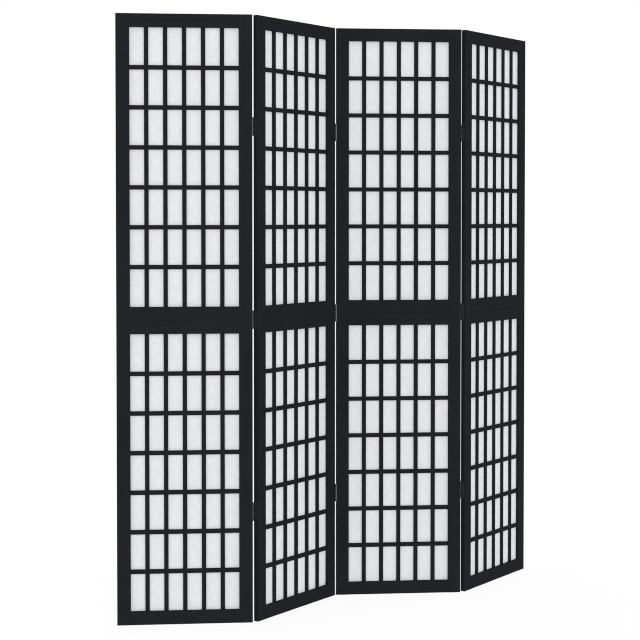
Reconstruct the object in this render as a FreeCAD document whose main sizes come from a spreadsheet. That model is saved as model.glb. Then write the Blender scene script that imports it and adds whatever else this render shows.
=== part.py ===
"""Folding screen: four lattice panels with paper, joined in a row by butt hinges.

Each panel is drawn in its own coordinates: X runs along its width from the left edge,
Y runs from the front face to the back, and Z runs up from the floor.
A placement object per panel then stands it in the zigzag row.
"""

import FreeCAD
import Part
import Sketcher
import os
import re

# Driving dimensions, in millimetres, degrees or counts.
SIZES = [
    ("panel_height", 1800, "height of a panel"),
    ("panel_width", 400, "width of a panel over its stiles"),
    ("panel_thickness", 15, "thickness of stiles and rails"),
    ("fold_angle", 49.3, "turn from one panel to the next as the screen stands"),
    ("stile_width", 40, "face width of a stile"),
    ("top_rail_height", 40, "face width of the top rail"),
    ("middle_rail_height", 40, "face width of each of the two middle rails"),
    ("bottom_rail_height", 40, "face width of the bottom rail"),
    ("edge_round", 0.8, "rounding of the long edges of stiles and rails"),
    ("tenon_length", 20, "length of a rail's tenon inside the stile"),
    ("tenon_thickness", 5, "thickness of a rail's tenon"),
    ("tenon_shoulder", 8, "step above and below a tenon"),
    ("tenon_clearance", 0.1, "gap round a tenon in its mortise"),
    ("tenon_end_gap", 1, "gap between a tenon's end and the mortise's end"),
    ("upright_count", 5, "upright slats in each half of a panel"),
    ("crossbar_count", 6, "level slats in each half of a panel"),
    ("slat_width", 13, "face width of a slat"),
    ("slat_thickness", 5.5, "thickness of a slat"),
    ("slat_recess", 3.6, "depth of the slats behind the panel's front face"),
    ("slat_round", 0.4, "rounding of a slat's front edges"),
    ("slat_stub", 5, "length of a slat's end that lies in the frame"),
    ("slat_clearance", 0.1, "gap beside a slat in a notch or at a crossing"),
    ("slat_end_gap", 1, "gap between a slat's end and the end of its notch"),
    ("paper_thickness", 0.3, "thickness of the paper"),
    ("paper_margin", 6, "width of the paper's edge that is glued to the frame"),
    ("paper_clearance", 0.5, "gap between the paper's edge and the rebate"),
    ("hinge_gap", 2.3, "gap between two panels that are opened flat"),
    ("pivot_offset", 2.6, "distance of a hinge pin's axis from the panel's face"),
    ("hinge_length", 55, "length of a hinge"),
    ("hinge_count", 3, "hinges on a joint"),
    ("hinge_end_distance", 328, "distance of the end hinges' middles from the panel's ends"),
    ("leaf_width", 11, "part of a hinge leaf that lies on the stile's edge"),
    ("leaf_thickness", 1, "thickness of a hinge leaf"),
    ("leaf_corner", 2, "corner radius of a hinge leaf"),
    ("barrel_diameter", 5.2, "outer diameter of a hinge barrel"),
    ("barrel_clearance", 0.3, "gap between a barrel and the other leaf"),
    ("knuckle_count", 5, "knuckles on a hinge"),
    ("knuckle_gap", 0.3, "gap between two knuckles"),
    ("pin_diameter", 2.5, "diameter of a hinge pin"),
    ("pin_clearance", 0.05, "gap round a hinge pin"),
    ("pin_round", 0.5, "rounding of a hinge pin's ends"),
    ("screw_count", 3, "screws in a hinge leaf"),
    ("screw_spacing", 19, "distance between two screws of a leaf"),
    ("screw_diameter", 2.4, "diameter of a screw's shank"),
    ("screw_length", 14, "length of a screw"),
    ("screw_head_diameter", 4.4, "diameter of a screw's head"),
    ("screw_head_height", 0.9, "height of a screw's countersunk head"),
    ("screw_clearance", 0.05, "gap round a screw"),
    ("driver_width", 0.7, "width of the cross in a screw's head"),
    ("driver_span", 2.6, "length of the cross in a screw's head"),
    ("driver_depth", 0.6, "depth of the cross in a screw's head"),
]

# Sizes that follow from the driving ones, written with their names.
FORMULAS = {
    "half_fold": "(fold_angle / 2 * 1 deg)",
    "opening_width": "(panel_width - 2 * stile_width)",
    "middle_height": "(panel_height / 2)",
    "lower_low": "bottom_rail_height",
    "lower_high": "(middle_height - middle_rail_height)",
    "upper_low": "(middle_height + middle_rail_height)",
    "upper_high": "(panel_height - top_rail_height)",
    "rebate_width": "(paper_margin + paper_clearance)",
    "slat_back": "(slat_recess + slat_thickness)",
    "lap_depth": "(slat_recess + slat_thickness / 2)",
    "notch_depth": "(slat_stub + slat_end_gap)",
    "notch_width": "(slat_width + 2 * slat_clearance)",
    "cell_width": "((opening_width - upright_count * slat_width) / (upright_count + 1))",
    "upright_pitch": "(cell_width + slat_width)",
    "first_upright": "(stile_width + cell_width + slat_width / 2)",
    "tenon_front": "((panel_thickness - tenon_thickness) / 2)",
    "hinge_pitch": "((panel_height - 2 * hinge_end_distance) / (hinge_count - 1))",
    "hinge_low": "(hinge_end_distance - hinge_length / 2)",
    "knuckle_pitch": "(hinge_length / knuckle_count)",
    "knuckle_length": "(knuckle_pitch - knuckle_gap)",
    "bore_diameter": "(pin_diameter + 2 * pin_clearance)",
    "barrel_reach": "(barrel_diameter / 2 + barrel_clearance)",
    "first_screw": "(hinge_end_distance - screw_spacing * (screw_count - 1) / 2)",
    "screw_depth": "(leaf_width / 2)",
    "head_taper": "(-atan((screw_head_diameter - screw_diameter) / 2 / screw_head_height))",
    "front_line": "(-(panel_width * sin(half_fold) + panel_thickness * cos(half_fold)) / 2)",
    "back_line": "(front_line + panel_width * sin(half_fold))",
    "valley_half": "(hinge_gap / 2 * cos(half_fold) + pivot_offset * sin(half_fold))",
    "ridge_half": "(hinge_gap / 2 * cos(half_fold) + (panel_thickness + pivot_offset) * sin(half_fold))",
    "panel_run": "(panel_width * cos(half_fold))",
}

HALVES = {
    "upper": {"low": "upper_low", "high": "upper_high"},
    "lower": {"low": "lower_low", "high": "lower_high"},
}

# The rails: lower edge, height, and the edge that faces the paper (1 upper, -1 lower).
RAILS = {
    "top_rail": {"low": "upper_high", "height": "top_rail_height", "inner": -1},
    "upper_middle_rail": {"low": "middle_height", "height": "middle_rail_height", "inner": 1},
    "lower_middle_rail": {"low": "lower_high", "height": "middle_rail_height", "inner": -1},
    "bottom_rail": {"low": "0", "height": "bottom_rail_height", "inner": 1},
}

# The sides: outer face, inner face, and the way from the opening into the stile.
SIDES = {
    "left": {"outer": "0", "inner": "stile_width", "way": -1},
    "right": {"outer": "panel_width", "inner": "(panel_width - stile_width)", "way": 1},
}

# The faces that a hinge's pin can stand off from.
PIN_LINES = {
    "front": {"pin": "(-pivot_offset)", "face": "0", "way": -1},
    "back": {"pin": "(panel_thickness + pivot_offset)", "face": "panel_thickness", "way": 1},
}

# The panels: place of the front left edge, turn, and the hinges' face at each side.
PANELS = {
    "panel_1": {
        "x": "-(valley_half + 2 * panel_run + 2 * ridge_half)",
        "y": "back_line",
        "turn": -1,
        "hinges": {"right": "back"},
    },
    "panel_2": {
        "x": "-(valley_half + panel_run)",
        "y": "front_line",
        "turn": 1,
        "hinges": {"left": "back", "right": "front"},
    },
    "panel_3": {
        "x": "valley_half",
        "y": "back_line",
        "turn": -1,
        "hinges": {"left": "front", "right": "back"},
    },
    "panel_4": {
        "x": "valley_half + panel_run + 2 * ridge_half",
        "y": "front_line",
        "turn": 1,
        "hinges": {"left": "back"},
    },
}

doc = FreeCAD.newDocument("folding_screen")
sheet = doc.addObject("Spreadsheet::Sheet", "Sizes")
size_names = [name for name, value, meaning in SIZES]


def fill_sheet():
    """Put every driving dimension into the spreadsheet, with its name as the alias."""
    for row, (name, value, meaning) in enumerate(SIZES, start=1):
        sheet.set(f"A{row}", meaning)
        sheet.set(f"B{row}", str(value))
        sheet.setAlias(f"B{row}", name)
    doc.recompute()


def formula(text):
    """Expression on the spreadsheet for a formula that is written with the names."""
    def expand(match):
        word = match.group()
        if word in FORMULAS:
            return formula(FORMULAS[word])
        if word in size_names:
            return f"Sizes.{word}"
        return word
    return re.sub(r"[a-z_]+", expand, text)


def number(text):
    """Present value of a formula, for picking edges."""
    return float(sheet.evalExpression(formula(text)))


# Sketches and features


def add_sketch(body, plane, name, offset="0"):
    """Sketch on one of the body's origin planes, moved along its normal by a formula."""
    sketch = body.newObject("Sketcher::SketchObject", name)
    support = [item for item in body.Origin.OriginFeatures if item.Role == plane][0]
    sketch.AttachmentSupport = (support, "")
    sketch.MapMode = "FlatFace"
    sketch.setExpression("AttachmentOffset.Base.z", formula(offset))
    return sketch


def fix(sketch, kind, *elements, to):
    """Dimension between sketch elements that follows a formula."""
    index = sketch.addConstraint(Sketcher.Constraint(kind, *elements, 1.0))
    sketch.setExpression(f"Constraints[{index}]", formula(to))


def draw_rectangle(sketch, left, right, low, high):
    """Rectangle whose four sides lie at formulas."""
    first = sketch.GeometryCount
    corners = [(0, 0), (10, 0), (10, 10), (0, 10)]
    for start, end in zip(corners, corners[1:] + corners[:1]):
        line = Part.LineSegment(FreeCAD.Vector(*start, 0), FreeCAD.Vector(*end, 0))
        sketch.addGeometry(line, False)
    for side in range(4):
        after = first + (side + 1) % 4
        sketch.addConstraint(Sketcher.Constraint("Coincident", first + side, 2, after, 1))
    for side, kind in enumerate(["Horizontal", "Vertical", "Horizontal", "Vertical"]):
        sketch.addConstraint(Sketcher.Constraint(kind, first + side))
    fix(sketch, "DistanceX", -1, 1, first, 1, to=left)
    fix(sketch, "DistanceY", -1, 1, first, 1, to=low)
    fix(sketch, "DistanceX", -1, 1, first + 2, 1, to=right)
    fix(sketch, "DistanceY", -1, 1, first + 2, 1, to=high)


def draw_circle(sketch, across, up, diameter):
    """Circle whose middle and diameter follow formulas."""
    circle = Part.Circle(FreeCAD.Vector(0, 0, 0), FreeCAD.Vector(0, 0, 1), 1)
    index = sketch.addGeometry(circle, False)
    fix(sketch, "DistanceX", -1, 1, index, 3, to=across)
    fix(sketch, "DistanceY", -1, 1, index, 3, to=up)
    fix(sketch, "Diameter", index, to=diameter)


def pad(body, sketch, name, length, backward=False, taper=None):
    """Pad of a sketch along its normal, or against it."""
    feature = body.newObject("PartDesign::Pad", name)
    feature.Profile = sketch
    feature.Reversed = backward
    feature.setExpression("Length", formula(length))
    if taper:
        feature.setExpression("TaperAngle", formula(taper))
    return feature


def pocket(body, sketch, name, length, forward=False, taper=None):
    """Pocket of a sketch against its normal, or along it."""
    feature = body.newObject("PartDesign::Pocket", name)
    feature.Profile = sketch
    feature.Reversed = forward
    feature.setExpression("Length", formula(length))
    if taper:
        feature.setExpression("TaperAngle", formula(taper))
    return feature


def repeat(body, features, name, axis, spacing, count):
    """Even row of copies of some features, or of the whole body where none is given."""
    if not features:
        doc.recompute()
    feature = body.newObject("PartDesign::LinearPattern", name)
    if features:
        feature.Originals = features
    else:
        feature.TransformMode = "Whole shape"
    line = [item for item in body.Origin.OriginFeatures if item.Role == axis][0]
    feature.Direction = (line, [""])
    feature.Mode = "Spacing"
    feature.setExpression("Offset", formula(spacing))
    feature.setExpression("Occurrences", formula(count))
    body.Tip = feature
    return feature


def round_edges(body, base, name, along, radius, at=None):
    """Fillet of the edges along one axis, on the plane y = at where that is given."""
    doc.recompute()
    picked = []
    for index, edge in enumerate(base.Shape.Edges, start=1):
        low = edge.Vertexes[0].Point
        high = edge.Vertexes[-1].Point
        step = high.sub(low)
        if abs(abs(step.dot(along)) - edge.Length) > 1e-6 or edge.Length < 1e-6:
            continue
        if at is not None and abs(low.y - at) > 1e-6:
            continue
        picked.append(f"Edge{index}")
    feature = body.newObject("PartDesign::Fillet", name)
    feature.Base = (base, picked)
    feature.setExpression("Radius", formula(radius))
    return feature


def new_body(label, panel):
    """Empty body that stands where its panel does."""
    body = doc.addObject("PartDesign::Body", label)
    body.Label = label
    body.setExpression("Placement", f"{panel}_place.Placement")
    return body


# Sub-parts of a panel

X_AXIS = FreeCAD.Vector(1, 0, 0)
Z_AXIS = FreeCAD.Vector(0, 0, 1)


def add_stile(panel, side, pin_line):
    """Stile with mortises for the rails, notches for the slats and a rebate for the paper."""
    outer = SIDES[side]["outer"]
    inner = SIDES[side]["inner"]
    way = SIDES[side]["way"]
    body = new_body(f"{panel}_{side}_stile", panel)
    sketch = add_sketch(body, "XY_Plane", "section")
    draw_rectangle(sketch, outer, inner, "0", "panel_thickness")
    board = pad(body, sketch, "board", "panel_height")
    round_edges(body, board, "edges", Z_AXIS, "edge_round")

    sketch = add_sketch(body, "YZ_Plane", "mortise_outlines", inner)
    for rail in RAILS.values():
        draw_rectangle(
            sketch,
            "tenon_front - tenon_clearance",
            "tenon_front + tenon_thickness + tenon_clearance",
            f"{rail['low']} + tenon_shoulder - tenon_clearance",
            f"{rail['low']} + {rail['height']} - tenon_shoulder + tenon_clearance",
        )
    pocket(body, sketch, "mortises", "tenon_length + tenon_end_gap", forward=way > 0)

    for half, span in HALVES.items():
        sketch = add_sketch(body, "XZ_Plane", f"{half}_rebate_outline", "-slat_back")
        draw_rectangle(
            sketch,
            inner,
            f"{inner} + {way} * rebate_width",
            f"{span['low']} - rebate_width",
            f"{span['high']} + rebate_width",
        )
        pocket(body, sketch, f"{half}_rebate", "panel_thickness - slat_back")
        pitch = f"(({span['high']} - {span['low']}) / (crossbar_count + 1))"
        sketch = add_sketch(body, "XZ_Plane", f"{half}_notch_outline", "-slat_recess")
        draw_rectangle(
            sketch,
            inner,
            f"{inner} + {way} * notch_depth",
            f"{span['low']} + {pitch} - notch_width / 2",
            f"{span['low']} + {pitch} + notch_width / 2",
        )
        notch = pocket(body, sketch, f"{half}_notch", "slat_thickness")
        repeat(body, [notch], f"{half}_notches", "Z_Axis", pitch, "crossbar_count")

    if pin_line:
        sketch = add_sketch(body, "YZ_Plane", "screw_hole_outlines", outer)
        for index in range(int(number("screw_count"))):
            draw_circle(
                sketch,
                screw_line(pin_line),
                f"first_screw + {index} * screw_spacing",
                "screw_diameter + 2 * screw_clearance",
            )
        holes = pocket(body, sketch, "screw_holes", "screw_length", forward=way < 0)
        repeat(body, [holes], "all_screw_holes", "Z_Axis", "hinge_pitch", "hinge_count")


def add_rail(panel, name):
    """Rail with a tenon at each end, notches for the uprights and a rebate for the paper."""
    rail = RAILS[name]
    inner = rail["inner"]
    edge = f"({rail['low']} + {rail['height']})" if inner > 0 else rail["low"]
    body = new_body(f"{panel}_{name}", panel)
    sketch = add_sketch(body, "YZ_Plane", "section", "stile_width")
    draw_rectangle(sketch, "0", "panel_thickness", rail["low"], f"{rail['low']} + {rail['height']}")
    board = pad(body, sketch, "board", "opening_width")
    round_edges(body, board, "edges", X_AXIS, "edge_round")

    sketch = add_sketch(body, "YZ_Plane", "tenon_section", "stile_width - tenon_length")
    draw_rectangle(
        sketch,
        "tenon_front",
        "tenon_front + tenon_thickness",
        f"{rail['low']} + tenon_shoulder",
        f"{rail['low']} + {rail['height']} - tenon_shoulder",
    )
    pad(body, sketch, "tenons", "opening_width + 2 * tenon_length")

    sketch = add_sketch(body, "YZ_Plane", "rebate_section", "stile_width")
    draw_rectangle(sketch, "slat_back", "panel_thickness", edge, f"{edge} - {inner} * rebate_width")
    pocket(body, sketch, "rebate", "opening_width", forward=True)

    sketch = add_sketch(body, "XZ_Plane", "notch_outline", "-slat_recess")
    draw_rectangle(
        sketch,
        "first_upright - notch_width / 2",
        "first_upright + notch_width / 2",
        edge,
        f"{edge} - {inner} * notch_depth",
    )
    notch = pocket(body, sketch, "notch", "slat_thickness")
    repeat(body, [notch], "notches", "X_Axis", "upright_pitch", "upright_count")


def add_uprights(panel, half):
    """Upright slats of one half, notched at the back where the crossbars pass."""
    low = HALVES[half]["low"]
    high = HALVES[half]["high"]
    pitch = f"(({high} - {low}) / (crossbar_count + 1))"
    body = new_body(f"{panel}_{half}_uprights", panel)
    sketch = add_sketch(body, "XY_Plane", "section", f"{low} - slat_stub")
    draw_rectangle(
        sketch,
        "first_upright - slat_width / 2",
        "first_upright + slat_width / 2",
        "slat_recess",
        "slat_back",
    )
    slat = pad(body, sketch, "slat", f"{high} - {low} + 2 * slat_stub")
    round_edges(body, slat, "edges", Z_AXIS, "slat_round", at=number("slat_recess"))
    sketch = add_sketch(body, "XZ_Plane", "lap_outline", "-lap_depth")
    draw_rectangle(
        sketch,
        "first_upright - slat_width",
        "first_upright + slat_width",
        f"{low} + {pitch} - notch_width / 2",
        f"{low} + {pitch} + notch_width / 2",
    )
    lap = pocket(body, sketch, "lap", "slat_thickness")
    repeat(body, [lap], "laps", "Z_Axis", pitch, "crossbar_count")
    repeat(body, [], "slats", "X_Axis", "upright_pitch", "upright_count")


def add_crossbars(panel, half):
    """Level slats of one half, notched at the front where the uprights pass."""
    low = HALVES[half]["low"]
    high = HALVES[half]["high"]
    pitch = f"(({high} - {low}) / (crossbar_count + 1))"
    body = new_body(f"{panel}_{half}_crossbars", panel)
    sketch = add_sketch(body, "YZ_Plane", "section", "stile_width - slat_stub")
    draw_rectangle(
        sketch,
        "slat_recess",
        "slat_back",
        f"{low} + {pitch} - slat_width / 2",
        f"{low} + {pitch} + slat_width / 2",
    )
    slat = pad(body, sketch, "slat", "opening_width + 2 * slat_stub")
    round_edges(body, slat, "edges", X_AXIS, "slat_round", at=number("slat_recess"))
    sketch = add_sketch(body, "XZ_Plane", "lap_outline", "-lap_depth")
    draw_rectangle(
        sketch,
        "first_upright - notch_width / 2",
        "first_upright + notch_width / 2",
        f"{low} + {pitch} - slat_width",
        f"{low} + {pitch} + slat_width",
    )
    lap = pocket(body, sketch, "lap", "slat_thickness", forward=True)
    repeat(body, [lap], "laps", "X_Axis", "upright_pitch", "upright_count")
    repeat(body, [], "slats", "Z_Axis", pitch, "crossbar_count")


def add_paper(panel, half):
    """Sheet of paper behind the slats, with its edges glued into the rebate."""
    low = HALVES[half]["low"]
    high = HALVES[half]["high"]
    body = new_body(f"{panel}_{half}_paper", panel)
    sketch = add_sketch(body, "XZ_Plane", "outline", "-slat_back")
    draw_rectangle(
        sketch,
        "stile_width - paper_margin",
        "panel_width - stile_width + paper_margin",
        f"{low} - paper_margin",
        f"{high} + paper_margin",
    )
    pad(body, sketch, "sheet", "paper_thickness", backward=True)


# Hinges


def screw_line(pin_line):
    """Distance of the screws' row from the panel's front face."""
    line = PIN_LINES[pin_line]
    return f"({line['face']} - {line['way']} * screw_depth)"


def add_leaf(body, side, pin_line):
    """Lowest hinge leaf on one edge of a panel: plate, knuckles and countersunk screw holes."""
    outer = SIDES[side]["outer"]
    way = SIDES[side]["way"]
    line = PIN_LINES[pin_line]
    pin_across = f"({outer} + {way} * hinge_gap / 2)"
    plate_edge = f"{line['face']} - {line['way']} * leaf_width"
    leaf_plane = f"{outer} + {way} * leaf_thickness"
    first_knuckle = 0 if side == "right" else 1
    own_knuckles = "(knuckle_count + 1) / 2" if side == "right" else "(knuckle_count - 1) / 2"
    knuckle_low = f"hinge_low + {first_knuckle} * knuckle_pitch + knuckle_gap / 2"

    sketch = add_sketch(body, "YZ_Plane", f"{side}_plate_outline", outer)
    draw_rectangle(
        sketch,
        plate_edge,
        f"{line['pin']} - {line['way']} * barrel_reach",
        "hinge_low",
        "hinge_low + hinge_length",
    )
    plate = pad(body, sketch, f"{side}_plate", "leaf_thickness", backward=way < 0)
    round_edges(body, plate, f"{side}_corners", X_AXIS, "leaf_corner", at=number(plate_edge))

    sketch = add_sketch(body, "XY_Plane", f"{side}_tab_section", knuckle_low)
    draw_rectangle(sketch, outer, leaf_plane, f"{plate_edge} + {line['way']} * leaf_width / 2", line["pin"])
    tab = pad(body, sketch, f"{side}_tab", "knuckle_length")
    sketch = add_sketch(body, "XY_Plane", f"{side}_knuckle_section", knuckle_low)
    draw_circle(sketch, pin_across, line["pin"], "barrel_diameter")
    knuckle = pad(body, sketch, f"{side}_knuckle", "knuckle_length")
    repeat(body, [tab, knuckle], f"{side}_knuckles", "Z_Axis", "2 * knuckle_pitch", own_knuckles)
    sketch = add_sketch(body, "XY_Plane", f"{side}_bore_section", "hinge_low")
    draw_circle(sketch, pin_across, line["pin"], "bore_diameter")
    pocket(body, sketch, f"{side}_bore", "hinge_length", forward=True)

    seats = []
    for name, diameter, depth, taper in (
        ("hole", "screw_diameter", "leaf_thickness", None),
        ("countersink", "screw_head_diameter", "screw_head_height", "head_taper"),
    ):
        sketch = add_sketch(body, "YZ_Plane", f"{side}_{name}_outline", leaf_plane)
        draw_circle(sketch, screw_line(pin_line), "first_screw", f"{diameter} + 2 * screw_clearance")
        seats.append(pocket(body, sketch, f"{side}_{name}", depth, forward=way < 0, taper=taper))
    repeat(body, seats, f"{side}_screw_seats", "Z_Axis", "screw_spacing", "screw_count")


def add_screw(body, side, pin_line):
    """Lowest row of countersunk screws on one edge of a panel."""
    way = SIDES[side]["way"]
    head_plane = f"{SIDES[side]['outer']} + {way} * leaf_thickness"
    across = screw_line(pin_line)
    features = []
    for name, diameter, length, taper in (
        ("shank", "screw_diameter", "screw_length", None),
        ("head", "screw_head_diameter", "screw_head_height", "head_taper"),
    ):
        sketch = add_sketch(body, "YZ_Plane", f"{side}_{name}_section", head_plane)
        draw_circle(sketch, across, "first_screw", diameter)
        features.append(pad(body, sketch, f"{side}_{name}", length, backward=way > 0, taper=taper))
    for name, span, rise in (
        ("slot", "driver_span", "driver_width"),
        ("cross_slot", "driver_width", "driver_span"),
    ):
        sketch = add_sketch(body, "YZ_Plane", f"{side}_{name}_outline", head_plane)
        draw_rectangle(
            sketch,
            f"{across} - {span} / 2",
            f"{across} + {span} / 2",
            f"first_screw - {rise} / 2",
            f"first_screw + {rise} / 2",
        )
        features.append(pocket(body, sketch, f"{side}_{name}", "driver_depth", forward=way < 0))
    repeat(body, features, f"{side}_screws", "Z_Axis", "screw_spacing", "screw_count")


def add_hinge_parts(panel, hinges):
    """Hinge leaves and their screws on the edges of a panel."""
    leaves = new_body(f"{panel}_hinge_leaves", panel)
    screws = new_body(f"{panel}_hinge_screws", panel)
    for side, pin_line in hinges.items():
        add_leaf(leaves, side, pin_line)
        add_screw(screws, side, pin_line)
    for body in (leaves, screws):
        repeat(body, [], "copies", "Z_Axis", "hinge_pitch", "hinge_count")


def add_hinge_pins(panel, pin_line):
    """Pins of the hinges on the right edge of a panel."""
    body = new_body(f"{panel}_hinge_pins", panel)
    sketch = add_sketch(body, "XY_Plane", "section", "hinge_low")
    draw_circle(sketch, "panel_width + hinge_gap / 2", PIN_LINES[pin_line]["pin"], "pin_diameter")
    shaft = pad(body, sketch, "shaft", "hinge_length")
    doc.recompute()
    rims = [
        f"Edge{index}"
        for index, edge in enumerate(shaft.Shape.Edges, start=1)
        if len(edge.Vertexes) == 1
    ]
    ends = body.newObject("PartDesign::Fillet", "ends")
    ends.Base = (shaft, rims)
    ends.setExpression("Radius", formula("pin_round"))
    repeat(body, [], "pins", "Z_Axis", "hinge_pitch", "hinge_count")


# The whole screen


def place_panel(panel, place):
    """Placement object that stands one panel in the row."""
    holder = doc.addObject("App::Placement", f"{panel}_place")
    holder.Placement.Rotation.Axis = Z_AXIS
    holder.setExpression("Placement.Base.x", formula(place["x"]))
    holder.setExpression("Placement.Base.y", formula(place["y"]))
    holder.setExpression("Placement.Rotation.Angle", formula(f"{place['turn']} * half_fold"))


def build_panel(panel, place):
    """All the sub-parts of one panel."""
    place_panel(panel, place)
    hinges = place["hinges"]
    for side in SIDES:
        add_stile(panel, side, hinges.get(side))
    for name in RAILS:
        add_rail(panel, name)
    for half in HALVES:
        add_uprights(panel, half)
        add_crossbars(panel, half)
        add_paper(panel, half)
    add_hinge_parts(panel, hinges)
    if "right" in hinges:
        add_hinge_pins(panel, hinges["right"])


def check_objects():
    """Stop where an object failed or a sub-part has no sound shape."""
    for item in doc.Objects:
        if "Invalid" in item.State or "Error" in item.State:
            raise RuntimeError(f"{item.Label} failed: {item.State}")
    bodies = doc.findObjects("PartDesign::Body")
    for body in bodies:
        if body.Shape.isNull() or not body.Shape.isValid():
            raise RuntimeError(f"{body.Label} has no sound shape")
    return bodies


fill_sheet()
for panel_name, panel_place in PANELS.items():
    build_panel(panel_name, panel_place)
doc.recompute()
parts = check_objects()
os.makedirs("parts", exist_ok=True)
for part in parts:
    part.Shape.exportStep(f"parts/{part.Label}.step")
print(len(parts), "sub-parts,", sum(len(part.Shape.Solids) for part in parts), "solids")
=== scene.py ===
"""A four-panel shoji folding screen: its finishes, its paper sheets and the studio round it.

The solids of the screen come with the frame and keep their shapes. This script gives them
lacquer and steel, stretches a sheet of paper over each half lattice, and lights the whole.
Lengths are in metres.
"""

import math

import bmesh
import bpy
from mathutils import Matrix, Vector, noise


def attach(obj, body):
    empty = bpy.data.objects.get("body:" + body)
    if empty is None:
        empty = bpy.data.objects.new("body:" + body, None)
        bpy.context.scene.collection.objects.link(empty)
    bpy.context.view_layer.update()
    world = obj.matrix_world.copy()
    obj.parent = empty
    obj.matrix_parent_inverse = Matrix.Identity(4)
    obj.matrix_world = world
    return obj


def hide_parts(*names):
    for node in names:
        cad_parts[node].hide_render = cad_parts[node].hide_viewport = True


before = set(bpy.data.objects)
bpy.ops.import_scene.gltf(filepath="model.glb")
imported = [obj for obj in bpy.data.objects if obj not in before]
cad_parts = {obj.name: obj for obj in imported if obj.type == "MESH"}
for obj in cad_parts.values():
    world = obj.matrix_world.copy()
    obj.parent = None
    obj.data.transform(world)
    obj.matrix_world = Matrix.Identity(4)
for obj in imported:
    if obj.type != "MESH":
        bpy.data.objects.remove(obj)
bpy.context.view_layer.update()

bl_info = {
    "name": "Shoji Folding Screen",
    "version": (1, 0, 0),
    "blender": (4, 5, 0),
    "location": "3D View > Sidebar > Screen",
    "description": "Finishes a four-panel shoji screen and lights it in a plain studio",
    "category": "Object",
}

PANELS = ("panel_1", "panel_2", "panel_3", "panel_4")
HALVES = ("upper", "lower")
STILES = ("left_stile", "right_stile")
RAILS = ("top_rail", "upper_middle_rail", "lower_middle_rail", "bottom_rail")

# The lattice that each sheet is glued to, as the solids have it.
UPRIGHTS = 5
CROSSBARS = 6
SLAT_WIDTH = 0.013
SHEET_LAP = 0.006

# How far a panel is turned from the row: half of the fold between two panels.
SLANT = math.radians(24.65)

# Sockets of a Mix node set to colours, which share their names with hidden ones.
MIX_FIRST, MIX_SECOND, MIX_RESULT = 6, 7, 2

WHITE = (1.0, 1.0, 1.0, 1.0)
UNTURNED = (0.0, 0.0, 0.0)

# How far the grain is drawn out along a stile or rail, and along a slat.
FRAME_GRAIN = 30.0
SLAT_GRAIN = 20.0

# Shares of a colour in the darkest and the lightest spots of each finish.
LACQUER_TONES = (0.66, 1.34)
STEEL_TONES = (0.86, 1.22)
PAPER_TONES = (0.920, 1.045)
FIBRE_TONE = 1.16
BARK_TONE = 0.62
FLOOR_TONES = (0.97, 1.03)

# Blotches to the metre in the lacquer's clouds, and the level under which a pore is open.
PORE_SCALE = 950.0
GROWTH_SCALE = 130.0
PEEL_SCALE = 420.0
HAZE_SCALE = 7.0
PORE_LEVEL = 0.44
PORE_EDGE = 9.0

# The same for steel: fine lines across a hinge, specks, and patches rubbed by hands.
LINE_SCALE = 38.0
LINE_HEIGHT = 0.02
SPECK_SCALE = 2600.0
RUBBED_SCALE = 240.0
RUBBED_LEVEL = 0.52
RUBBED_EDGE = 5.0
SPECK_DEPTH = 0.00002

# The same for paper, and its fibres: tilt in radians, length, lines to the metre, fineness.
FORMATION_SCALE = 70.0
LAID_SCALE = 160.0
LAID_LENGTH = 5.0
FIBRES = (
    (0.45, 4.0, 110.0, 26.0),
    (-0.75, 4.0, 95.0, 26.0),
    (1.45, 5.0, 120.0, 30.0),
)
FIBRE_LEVEL = 0.47
FIBRE_EDGE = 9.0
BARK_SCALE = 480.0
BARK_LEVEL = 0.735
BARK_EDGE = 22.0
PAPER_DEPTH = 0.00005
PAPER_ROUGHNESS = 0.88
PAPER_SHEEN = 0.12

# How the paper's stand-off wanders over a cell, from cell to cell and from sheet to sheet.
CELL_STEP = (3.1, 2.3)
CELL_SPAN = (0.9, 1.6)
SHEET_STEP = 7.7
RIPPLE_SCALE = 2.7
RIPPLE_OFFSET = Vector((0.0, 0.0, 3.3))

# A face of a sheet is smooth where it looks this squarely to the front or back.
SQUARE_ON = 0.7

# The studio.
KEY_SIZE = (5.0, 4.0)
KEY_PLACE = (-5.0, -7.8, 4.6)
KEY_AIM = (0.0, 0.0, 0.9)
FLOOR_CLOUD_SCALE = 1.5
FLOOR_ROUGHNESS = 0.9
SENSOR_WIDTH = 36.0
VIEW_END = 200.0
FILTER_WIDTH = 1.1


# ---------------------------------------------------------------- settings


class ShojiWoodSettings(bpy.types.PropertyGroup):
    """Black lacquer on the frame and the lattice."""

    frame_colour: bpy.props.FloatVectorProperty(
        name="Frame colour",
        description="Colour of the lacquer on the stiles and rails",
        subtype="COLOR",
        size=3,
        min=0.0,
        max=1.0,
        default=(0.0144, 0.0150, 0.0183),
    )
    lattice_colour: bpy.props.FloatVectorProperty(
        name="Lattice colour",
        description="Colour of the lacquer on the uprights and crossbars",
        subtype="COLOR",
        size=3,
        min=0.0,
        max=1.0,
        default=(0.0136, 0.0141, 0.0174),
    )
    roughness: bpy.props.FloatProperty(
        name="Roughness",
        description="How dull the lacquer is, from 0 for a mirror to 1 for chalk",
        subtype="FACTOR",
        min=0.0,
        max=1.0,
        default=0.46,
    )
    gloss: bpy.props.FloatProperty(
        name="Gloss",
        description="Specular level of the lacquer",
        subtype="FACTOR",
        min=0.0,
        max=1.0,
        default=0.003,
    )
    grain_depth: bpy.props.FloatProperty(
        name="Grain depth",
        description="Depth of the wood grain that shows through the lacquer",
        subtype="DISTANCE",
        unit="LENGTH",
        min=0.0,
        max=0.001,
        default=0.00006,
    )


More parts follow.
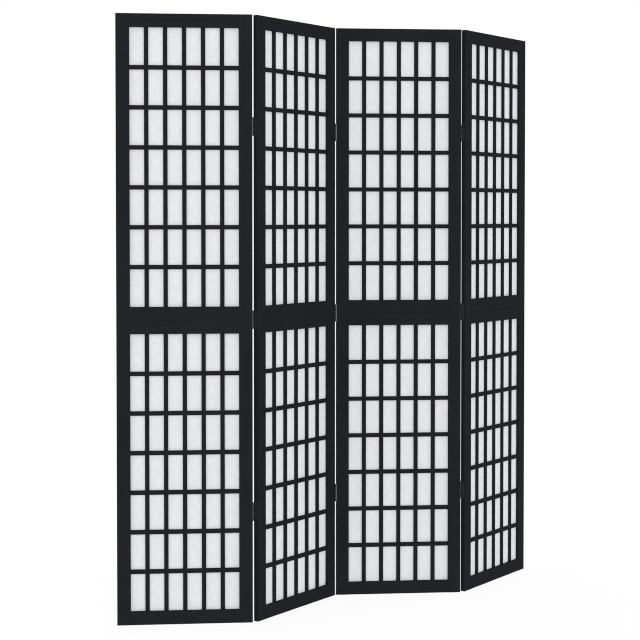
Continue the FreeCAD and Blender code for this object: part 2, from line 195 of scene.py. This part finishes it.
class ShojiPaperSettings(bpy.types.PropertyGroup):
    """The eight sheets of white paper."""

    colour: bpy.props.FloatVectorProperty(
        name="Colour",
        description="Colour of the paper",
        subtype="COLOR",
        size=3,
        min=0.0,
        max=1.0,
        default=(0.866, 0.870, 0.885),
    )
    see_through: bpy.props.FloatProperty(
        name="Light through",
        description="Share of the light that the paper lets through",
        subtype="FACTOR",
        min=0.0,
        max=1.0,
        default=0.52,
    )
    thickness: bpy.props.FloatProperty(
        name="Thickness",
        description="Thickness of a sheet",
        subtype="DISTANCE",
        unit="LENGTH",
        min=0.0001,
        max=0.0003,
        default=0.00024,
    )
    cockle: bpy.props.FloatProperty(
        name="Cockle",
        description="How far the paper bellies in or out in a cell of the lattice",
        subtype="DISTANCE",
        unit="LENGTH",
        min=0.0,
        max=0.002,
        default=0.00035,
    )
    fibre: bpy.props.FloatProperty(
        name="Fibre",
        description="How strongly the fibres show in the paper",
        subtype="FACTOR",
        min=0.0,
        max=1.0,
        default=0.80,
    )
    steps_across: bpy.props.IntProperty(
        name="Steps across a cell",
        description="Faces across each cell of the lattice",
        min=2,
        max=16,
        default=6,
    )
    steps_up: bpy.props.IntProperty(
        name="Steps up a cell",
        description="Faces up each cell of the lattice",
        min=2,
        max=24,
        default=10,
    )


class ShojiMetalSettings(bpy.types.PropertyGroup):
    """Hinges, their pins and their screws."""

    hinge_colour: bpy.props.FloatVectorProperty(
        name="Hinge colour",
        description="Colour of the coated steel of the leaves and knuckles",
        subtype="COLOR",
        size=3,
        min=0.0,
        max=1.0,
        default=(0.165, 0.165, 0.173),
    )
    pin_colour: bpy.props.FloatVectorProperty(
        name="Pin colour",
        description="Colour of the bare steel of the pins",
        subtype="COLOR",
        size=3,
        min=0.0,
        max=1.0,
        default=(0.24, 0.24, 0.25),
    )
    screw_colour: bpy.props.FloatVectorProperty(
        name="Screw colour",
        description="Colour of the blackened steel of the screws",
        subtype="COLOR",
        size=3,
        min=0.0,
        max=1.0,
        default=(0.030, 0.030, 0.033),
    )
    roughness: bpy.props.FloatProperty(
        name="Roughness",
        description="How dull the metal is, from 0 for a mirror to 1 for chalk",
        subtype="FACTOR",
        min=0.0,
        max=1.0,
        default=0.34,
    )


class ShojiStudioSettings(bpy.types.PropertyGroup):
    """Floor, lights and camera."""

    camera_place: bpy.props.FloatVectorProperty(
        name="Camera place",
        description="Where the camera stands",
        subtype="TRANSLATION",
        unit="LENGTH",
        size=3,
        default=(-2.4862, -4.1707, 1.2099),
    )
    camera_heading: bpy.props.FloatProperty(
        name="Camera heading",
        description="Direction the camera looks in, turned from +Y",
        subtype="ANGLE",
        unit="ROTATION",
        default=math.radians(-29.762),
    )
    camera_dip: bpy.props.FloatProperty(
        name="Camera dip",
        description="How far the camera looks down",
        subtype="ANGLE",
        unit="ROTATION",
        default=math.radians(1.506),
    )
    lens: bpy.props.FloatProperty(
        name="Lens",
        description="Focal length of the camera on a 36 mm sensor",
        subtype="DISTANCE_CAMERA",
        unit="CAMERA",
        min=1.0,
        default=87.40,
    )
    lens_shift: bpy.props.FloatProperty(
        name="Lens shift",
        description="Upward shift of the lens, as a share of the picture's side",
        min=-1.0,
        max=1.0,
        default=-0.10,
    )
    surround: bpy.props.FloatProperty(
        name="Surround",
        description="Brightness of the white surround",
        min=0.0,
        default=1.0,
    )
    key_power: bpy.props.FloatProperty(
        name="Key light",
        description="Power of the large soft light on the left",
        subtype="POWER",
        unit="POWER",
        min=0.0,
        default=156.0,
    )
    floor_colour: bpy.props.FloatVectorProperty(
        name="Floor colour",
        description="Colour of the pale floor",
        subtype="COLOR",
        size=3,
        min=0.0,
        max=1.0,
        default=(0.10, 0.10, 0.10),
    )
    floor_glow: bpy.props.FloatProperty(
        name="Floor glow",
        description="Light that the backlit floor gives off",
        min=0.0,
        default=0.90,
    )
    floor_side: bpy.props.FloatProperty(
        name="Floor side",
        description="Side of the square floor",
        subtype="DISTANCE",
        unit="LENGTH",
        min=2.0,
        default=60.0,
    )


# ---------------------------------------------------------------- shaders


class Level:
    """A number that changes over a surface; arithmetic on it adds Math nodes."""

    def __init__(self, finish, output):
        self.finish = finish
        self.output = output

    def maths(self, operation, *values):
        """A Math node on numbers or levels."""
        numbers = dict(enumerate(values))
        return self.finish.node("ShaderNodeMath", {"operation": operation}, numbers)

    def __add__(self, other):
        return self.maths("ADD", self, other)

    __radd__ = __add__

    def __sub__(self, other):
        return self.maths("SUBTRACT", self, other)

    def __rsub__(self, other):
        return self.maths("SUBTRACT", other, self)

    def __mul__(self, other):
        return self.maths("MULTIPLY", self, other)

    __rmul__ = __mul__

    def __abs__(self):
        return self.maths("ABSOLUTE", self)

    def kept_to_one(self):
        """The level with what lies under 0 or over 1 cut off."""
        return self.maths("MINIMUM", self.maths("MAXIMUM", self, 0.0), 1.0)


class Finish:
    """A material, and the ways to lay its nodes."""

    def __init__(self, name):
        self.material = bpy.data.materials.new(name)
        self.material.use_nodes = True
        self.tree = self.material.node_tree
        self.tree.nodes.clear()
        self.place = self.node("ShaderNodeTexCoord", output="Object")

    def node(self, kind, settings=(), values=(), output=0):
        """Any node: its settings, then the values or links of its sockets."""
        made = self.tree.nodes.new(kind)
        for name, setting in dict(settings).items():
            setattr(made, name, setting)
        for name, value in dict(values).items():
            if isinstance(value, Level):
                self.tree.links.new(value.output, made.inputs[name])
            else:
                made.inputs[name].default_value = value
        return Level(self, made.outputs[output]) if made.outputs else None

    def stretched(self, turn, lengths):
        """Object coordinates turned about X, Y and Z, and drawn out along the grain."""
        values = {"Vector": self.place, "Rotation": turn, "Scale": lengths}
        return self.node("ShaderNodeMapping", {"vector_type": "TEXTURE"}, values)

    def cloud(self, place, scale, detail=2.0, distortion=0.0):
        """Soft noise from 0 to 1, with about scale blotches to the metre."""
        values = {
            "Vector": place,
            "Scale": scale,
            "Detail": detail,
            "Distortion": distortion,
        }
        return self.node("ShaderNodeTexNoise", {}, values)

    def between(self, first, second, share):
        """A colour that goes from first to second as share goes from 0 to 1."""
        values = {0: share, MIX_FIRST: first, MIX_SECOND: second}
        return self.node("ShaderNodeMix", {"data_type": "RGBA"}, values, MIX_RESULT)

    def toned(self, colour, tones, share):
        """One colour from its darkest to its lightest tone as share goes from 0 to 1."""
        dark, light = (shade(colour, tone) for tone in tones)
        return self.between(dark, light, share)

    def bump(self, height, distance, strength):
        """A relief that stands up to distance high where height is 1."""
        values = {"Height": height, "Distance": distance, "Strength": strength}
        return self.node("ShaderNodeBump", {}, values)

    def surface(self, **values):
        """The principled shader, with its sockets named with underlines for blanks."""
        named = {name.replace("_", " "): value for name, value in values.items()}
        return self.node("ShaderNodeBsdfPrincipled", {}, named)

    def done(self, shader):
        """The finished material, with its surface set."""
        self.node("ShaderNodeOutputMaterial", {}, {"Surface": shader})
        return self.material


def shade(colour, share):
    """A colour made lighter or darker, with the alpha that a socket wants."""
    return tuple(min(1.0, part * share) for part in colour) + (1.0,)


def lacquer(name, colour, turn, lengths, wood):
    """Black lacquer over fine-grained wood, with the grain along the long side."""
    finish = Finish(name)
    grain_place = finish.stretched((0.0, 0.0, turn), lengths)
    pores = finish.cloud(grain_place, PORE_SCALE, 3.0)
    growth = finish.cloud(grain_place, GROWTH_SCALE, 2.0, 0.6)
    peel = finish.cloud(finish.place, PEEL_SCALE)
    haze = finish.cloud(finish.place, HAZE_SCALE, 3.0)
    open_pores = ((PORE_LEVEL - pores) * PORE_EDGE).kept_to_one()
    tone = 0.5 * haze + 0.3 * growth + 0.2 * (1.0 - open_pores)
    base = finish.toned(colour, LACQUER_TONES, tone)
    dull = wood.roughness - 0.07 + 0.10 * haze + 0.08 * open_pores
    relief = 0.55 * growth - 0.6 * open_pores + 0.30 * peel
    normal = finish.bump(relief, wood.grain_depth, 0.55)
    return finish.done(
        finish.surface(
            Base_Color=base,
            Roughness=dull,
            Specular_IOR_Level=wood.gloss,
            Normal=normal,
        )
    )


def coated_steel(name, colour, roughness, metallic=1.0, scratch=0.5):
    """Satin steel with a fine brushed tone and faint handling marks."""
    finish = Finish(name)
    across = finish.stretched(UNTURNED, (1.0, 1.0, LINE_HEIGHT))
    brushed = finish.cloud(across, LINE_SCALE, 3.0)
    specks = finish.cloud(finish.place, SPECK_SCALE, 2.0)
    handled = finish.cloud(finish.place, RUBBED_SCALE, 4.0, 1.0)
    rubbed = ((handled - RUBBED_LEVEL) * RUBBED_EDGE).kept_to_one()
    base = finish.toned(colour, STEEL_TONES, 0.5 * brushed + scratch * rubbed)
    dull = roughness - 0.05 + 0.12 * specks - 0.08 * rubbed
    normal = finish.bump(0.7 * specks + 0.3 * brushed, SPECK_DEPTH, 0.5)
    return finish.done(
        finish.surface(Base_Color=base, Metallic=metallic, Roughness=dull, Normal=normal)
    )


def strands(finish, tilt, length, scale, fineness):
    """Thin broken lines that wander about one direction, where a cloud crosses its middle."""
    along = finish.stretched((0.0, tilt, 0.0), (1.0, 1.0, length))
    wander = finish.cloud(along, scale, 1.0, 0.8)
    kept = ((finish.cloud(along, scale * 0.9) - FIBRE_LEVEL) * FIBRE_EDGE).kept_to_one()
    return (1.0 - abs(wander - 0.5) * fineness).kept_to_one() * kept


def washi(name, paper):
    """White mulberry paper: clouded, crossed by long fibres, and light glows through it."""
    finish = Finish(name)
    formation = finish.cloud(finish.place, FORMATION_SCALE, 4.0)
    laid = finish.cloud(finish.stretched(UNTURNED, (1.0, 1.0, LAID_LENGTH)), LAID_SCALE)
    rising, falling, level = (0.8 * strands(finish, *fibre) for fibre in FIBRES)
    fibres = (rising + falling + level).kept_to_one()
    flecks = finish.cloud(finish.place, BARK_SCALE, 1.0)
    bark = ((flecks - BARK_LEVEL) * BARK_EDGE).kept_to_one()
    tone = 0.55 * formation + 0.30 * laid + 0.075
    ground = finish.toned(paper.colour, PAPER_TONES, tone)
    threaded = finish.between(ground, shade(paper.colour, FIBRE_TONE), paper.fibre * fibres)
    base = finish.between(threaded, shade(paper.colour, BARK_TONE), bark)
    normal = finish.bump(0.5 * formation + 0.5 * fibres, PAPER_DEPTH, 0.45)
    front = finish.surface(
        Base_Color=base,
        Roughness=PAPER_ROUGHNESS - 0.06 * fibres,
        Specular_IOR_Level=PAPER_SHEEN,
        Normal=normal,
    )
    glow = {"Color": shade(paper.colour, 1.0)}
    through = finish.node("ShaderNodeBsdfTranslucent", {}, glow)
    share = paper.see_through + 0.08 * (formation - 0.5) - 0.06 * fibres
    return finish.done(
        finish.node("ShaderNodeMixShader", {}, {0: share, 1: front, 2: through})
    )


def pale_floor(name, studio):
    """A matt white floor, lit from below so that it stays as pale as the surround."""
    finish = Finish(name)
    cloudy = finish.cloud(finish.place, FLOOR_CLOUD_SCALE, 3.0)
    base = finish.toned(studio.floor_colour, FLOOR_TONES, cloudy)
    return finish.done(
        finish.surface(
            Base_Color=base,
            Roughness=FLOOR_ROUGHNESS,
            Specular_IOR_Level=0.0,
            Emission_Color=WHITE,
            Emission_Strength=studio.floor_glow,
        )
    )


def dress(node, material):
    """Puts one finish on a solid's own material slots."""
    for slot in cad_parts[node].material_slots:
        slot.material = material


def slant(panel):
    """How far a panel is turned about the upright, in radians."""
    return SLANT if PANELS.index(panel) % 2 else -SLANT


# ---------------------------------------------------------------- paper


def sheet_corner(node):
    """A sheet's front lower left corner, its direction across, and its size."""
    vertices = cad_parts[node].data.vertices
    points = {tuple(round(part, 6) for part in vertex.co) for vertex in vertices}
    low = min(point[2] for point in points)
    high = max(point[2] for point in points)
    corners = sorted(point for point in points if point[2] == low)
    left = min(corners[:2], key=lambda point: point[1])
    right = min(corners[-2:], key=lambda point: point[1])
    behind = max(corners[:2], key=lambda point: point[1])
    across = Vector(right) - Vector(left)
    depth = (Vector(behind) - Vector(left)).length
    return Vector(left), across.normalized(), (across.length, high - low, depth)


def lattice_lines(length, slats, steps, equal_cells):
    """Places of the sheet's grid lines, and of each its share of the way over a cell."""
    inside = length - 2 * SHEET_LAP
    lines = [(0.0, 0.0, 0)]
    if equal_cells:
        cell = (inside - slats * SLAT_WIDTH) / (slats + 1)
        starts = [i * (cell + SLAT_WIDTH) for i in range(slats + 1)]
        ends = [start + cell for start in starts]
    else:
        pitch = inside / (slats + 1)
        half = SLAT_WIDTH / 2
        starts = [0.0] + [i * pitch + half for i in range(1, slats + 1)]
        ends = [i * pitch - half for i in range(1, slats + 1)] + [inside]
    for cell_number, (start, end) in enumerate(zip(starts, ends)):
        for step in range(steps + 1):
            share = step / steps
            lines.append((SHEET_LAP + start + (end - start) * share, share, cell_number))
    lines.append((length, 0.0, 0))
    return lines


def cockled(share_across, share_up, column, row, sheet_number):
    """How far the paper stands off its flat, from -1 to 1: nothing where it is glued."""
    free = math.sin(math.pi * share_across) * math.sin(math.pi * share_up) ** 0.6
    here = Vector(
        (
            column * CELL_STEP[0] + share_across * CELL_SPAN[0],
            row * CELL_STEP[1] + share_up * CELL_SPAN[1],
            sheet_number * SHEET_STEP,
        )
    )
    belly = noise.noise(here)
    ripple = noise.noise(here * RIPPLE_SCALE + RIPPLE_OFFSET)
    return free * (0.35 + 0.9 * belly + 0.35 * ripple)


def sheet_mesh(name, node, sheet_number, paper):
    """A closed thin sheet, flat over the slats and slightly cockled in the cells."""
    corner, across, (width, height, depth) = sheet_corner(node)
    backward = Vector((-across.y, across.x, 0.0))
    columns = lattice_lines(width, UPRIGHTS, paper.steps_across, True)
    rows = lattice_lines(height, CROSSBARS, paper.steps_up, False)
    front_gap = (depth - paper.thickness) / 2
    made = bmesh.new()
    sides = []
    for face_depth in (front_gap, front_gap + paper.thickness):
        side = []
        for up, share_up, row in rows:
            line = []
            for along, share_across, column in columns:
                stand = cockled(share_across, share_up, column, row, sheet_number)
                inward = face_depth + paper.cockle * stand
                place = corner + across * along + backward * inward
                line.append(made.verts.new(place + Vector((0.0, 0.0, up))))
            side.append(line)
        sides.append(side)
    front, back = sides
    last_row, last_column = len(rows) - 1, len(columns) - 1
    for i in range(last_row):
        for j in range(last_column):
            made.faces.new((front[i][j], front[i][j + 1], front[i + 1][j + 1], front[i + 1][j]))
            made.faces.new((back[i][j], back[i + 1][j], back[i + 1][j + 1], back[i][j + 1]))
    for i in range(last_row):
        for j in (0, last_column):
            made.faces.new((front[i][j], front[i + 1][j], back[i + 1][j], back[i][j]))
    for j in range(last_column):
        for i in (0, last_row):
            made.faces.new((front[i][j], back[i][j], back[i][j + 1], front[i][j + 1]))
    bmesh.ops.recalc_face_normals(made, faces=made.faces)
    mesh = bpy.data.meshes.new(name)
    made.to_mesh(mesh)
    made.free()
    for face in mesh.polygons:
        face.use_smooth = abs(face.normal.dot(backward)) > SQUARE_ON
    return mesh, (width, height)


# ---------------------------------------------------------------- operators


class SHOJI_OT_studio(bpy.types.Operator):
    """Lay the pale floor, light it softly and set the camera"""

    bl_idname = "shoji.studio"
    bl_label = "Studio"

    def execute(self, context):
        studio = context.scene.shoji_studio
        scene = context.scene
        scene.view_settings.view_transform = "Standard"
        scene.cycles.filter_width = FILTER_WIDTH
        scene.world = bpy.data.worlds.new("white_surround")
        scene.world.use_nodes = True
        surround = scene.world.node_tree.nodes["Background"]
        surround.inputs["Color"].default_value = WHITE
        surround.inputs["Strength"].default_value = studio.surround
        self.floor(scene, studio)
        self.key_light(scene, studio)
        self.camera(scene, studio)
        return {"FINISHED"}

    def floor(self, scene, studio):
        """A square white floor under the screen."""
        half = studio.floor_side / 2
        mesh = bpy.data.meshes.new("studio_floor")
        corners = [(x * half, y * half, 0.0) for x, y in ((-1, -1), (1, -1), (1, 1), (-1, 1))]
        mesh.from_pydata(corners, [], [(0, 1, 2, 3)])
        mesh.materials.append(pale_floor("studio_floor_white", studio))
        floor = bpy.data.objects.new("studio_floor", mesh)
        scene.collection.objects.link(floor)

    def key_light(self, scene, studio):
        """A large soft light in front on the left."""
        data = bpy.data.lights.new("key_softbox", "AREA")
        data.shape = "RECTANGLE"
        data.size, data.size_y = KEY_SIZE
        data.energy = studio.key_power
        light = bpy.data.objects.new("key_softbox", data)
        light.location = KEY_PLACE
        aim = Vector(KEY_AIM) - light.location
        light.rotation_euler = aim.to_track_quat("-Z", "Y").to_euler()
        scene.collection.objects.link(light)

    def camera(self, scene, studio):
        """The camera in front on the left, at two thirds of the screen's height."""
        data = bpy.data.cameras.new("studio_camera")
        data.sensor_width = SENSOR_WIDTH
        data.lens = studio.lens
        data.shift_y = studio.lens_shift
        data.clip_end = VIEW_END
        camera = bpy.data.objects.new("studio_camera", data)
        camera.location = studio.camera_place
        camera.rotation_euler = (math.pi / 2 - studio.camera_dip, 0.0, studio.camera_heading)
        scene.collection.objects.link(camera)
        scene.camera = camera


class SHOJI_OT_frame_wood(bpy.types.Operator):
    """Lacquer the stiles and the rails black"""

    bl_idname = "shoji.frame_wood"
    bl_label = "Stiles and rails"

    def execute(self, context):
        wood = context.scene.shoji_wood
        colour = wood.frame_colour
        lengths = (1.0, 1.0, FRAME_GRAIN)
        upright = lacquer("black_lacquer_stiles", colour, 0.0, lengths, wood)
        for panel in PANELS:
            for part in STILES:
                dress(f"{panel}_{part}", upright)
            name = f"black_lacquer_rails_{panel}"
            across = lacquer(name, colour, slant(panel), (FRAME_GRAIN, 1.0, 1.0), wood)
            for part in RAILS:
                dress(f"{panel}_{part}", across)
        return {"FINISHED"}


class SHOJI_OT_lattice(bpy.types.Operator):
    """Lacquer the uprights and the crossbars of the lattice black"""

    bl_idname = "shoji.lattice"
    bl_label = "Lattice"

    def execute(self, context):
        wood = context.scene.shoji_wood
        colour = wood.lattice_colour
        lengths = (1.0, 1.0, SLAT_GRAIN)
        upright = lacquer("black_lacquer_uprights", colour, 0.0, lengths, wood)
        for panel in PANELS:
            name = f"black_lacquer_crossbars_{panel}"
            across = lacquer(name, colour, slant(panel), (SLAT_GRAIN, 1.0, 1.0), wood)
            for half in HALVES:
                dress(f"{panel}_{half}_uprights", upright)
                dress(f"{panel}_{half}_crossbars", across)
        return {"FINISHED"}


class SHOJI_OT_hinges(bpy.types.Operator):
    """Finish the hinge leaves, their knuckles and their pins"""

    bl_idname = "shoji.hinges"
    bl_label = "Hinges"

    def execute(self, context):
        metal = context.scene.shoji_metal
        coated = coated_steel("satin_grey_steel", metal.hinge_colour, metal.roughness)
        bare = coated_steel("bare_steel", metal.pin_colour, metal.roughness - 0.04)
        for panel in PANELS:
            dress(f"{panel}_hinge_leaves", coated)
        for panel in PANELS[:-1]:
            dress(f"{panel}_hinge_pins", bare)
        return {"FINISHED"}


class SHOJI_OT_screws(bpy.types.Operator):
    """Finish the countersunk screws of the hinges"""

    bl_idname = "shoji.screws"
    bl_label = "Screws"

    def execute(self, context):
        metal = context.scene.shoji_metal
        blackened = coated_steel("blackened_steel", metal.screw_colour, metal.roughness, 0.8, 0.3)
        for panel in PANELS:
            dress(f"{panel}_hinge_screws", blackened)
        return {"FINISHED"}


class SHOJI_OT_paper(bpy.types.Operator):
    """Stretch a sheet of paper over the back of each half lattice"""

    bl_idname = "shoji.paper"
    bl_label = "Paper"

    def execute(self, context):
        paper = context.scene.shoji_paper
        material = washi("white_washi", paper)
        sheet_number = 0
        for panel in PANELS:
            for half in HALVES:
                node = f"{panel}_{half}_paper"
                name = f"{panel}_{half}_paper_sheet"
                mesh, flat = sheet_mesh(name, node, sheet_number, paper)
                mesh.materials.append(material)
                sheet = bpy.data.objects.new(name, mesh)
                context.scene.collection.objects.link(sheet)
                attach(sheet, panel)
                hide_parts(node)
                sheet_number += 1
        return {"FINISHED"}


class SHOJI_PT_screen(bpy.types.Panel):
    """Settings and steps of the folding screen"""

    bl_idname = "SHOJI_PT_screen"
    bl_label = "Shoji screen"
    bl_space_type = "VIEW_3D"
    bl_region_type = "UI"
    bl_category = "Screen"

    def draw(self, context):
        for settings, steps in STEPS:
            group = getattr(context.scene, settings)
            box = self.layout.box()
            for name in group.__annotations__:
                box.prop(group, name)
            for step in steps:
                box.operator(step.bl_idname)


SETTINGS = {
    "shoji_studio": ShojiStudioSettings,
    "shoji_wood": ShojiWoodSettings,
    "shoji_metal": ShojiMetalSettings,
    "shoji_paper": ShojiPaperSettings,
}

STEPS = (
    ("shoji_studio", (SHOJI_OT_studio,)),
    ("shoji_wood", (SHOJI_OT_frame_wood, SHOJI_OT_lattice)),
    ("shoji_metal", (SHOJI_OT_hinges, SHOJI_OT_screws)),
    ("shoji_paper", (SHOJI_OT_paper,)),
)

CLASSES = (
    *SETTINGS.values(),
    SHOJI_OT_studio,
    SHOJI_OT_frame_wood,
    SHOJI_OT_lattice,
    SHOJI_OT_hinges,
    SHOJI_OT_screws,
    SHOJI_OT_paper,
    SHOJI_PT_screen,
)


def register():
    for made in CLASSES:
        bpy.utils.register_class(made)
    for name, group in SETTINGS.items():
        setattr(bpy.types.Scene, name, bpy.props.PointerProperty(type=group))


def unregister():
    for name in SETTINGS:
        delattr(bpy.types.Scene, name)
    for made in reversed(CLASSES):
        bpy.utils.unregister_class(made)


def main():
    register()
    bpy.ops.shoji.studio()
    bpy.ops.shoji.frame_wood()
    bpy.ops.shoji.lattice()
    bpy.ops.shoji.hinges()
    bpy.ops.shoji.screws()
    bpy.ops.shoji.paper()


if __name__ == "__main__":
    main()
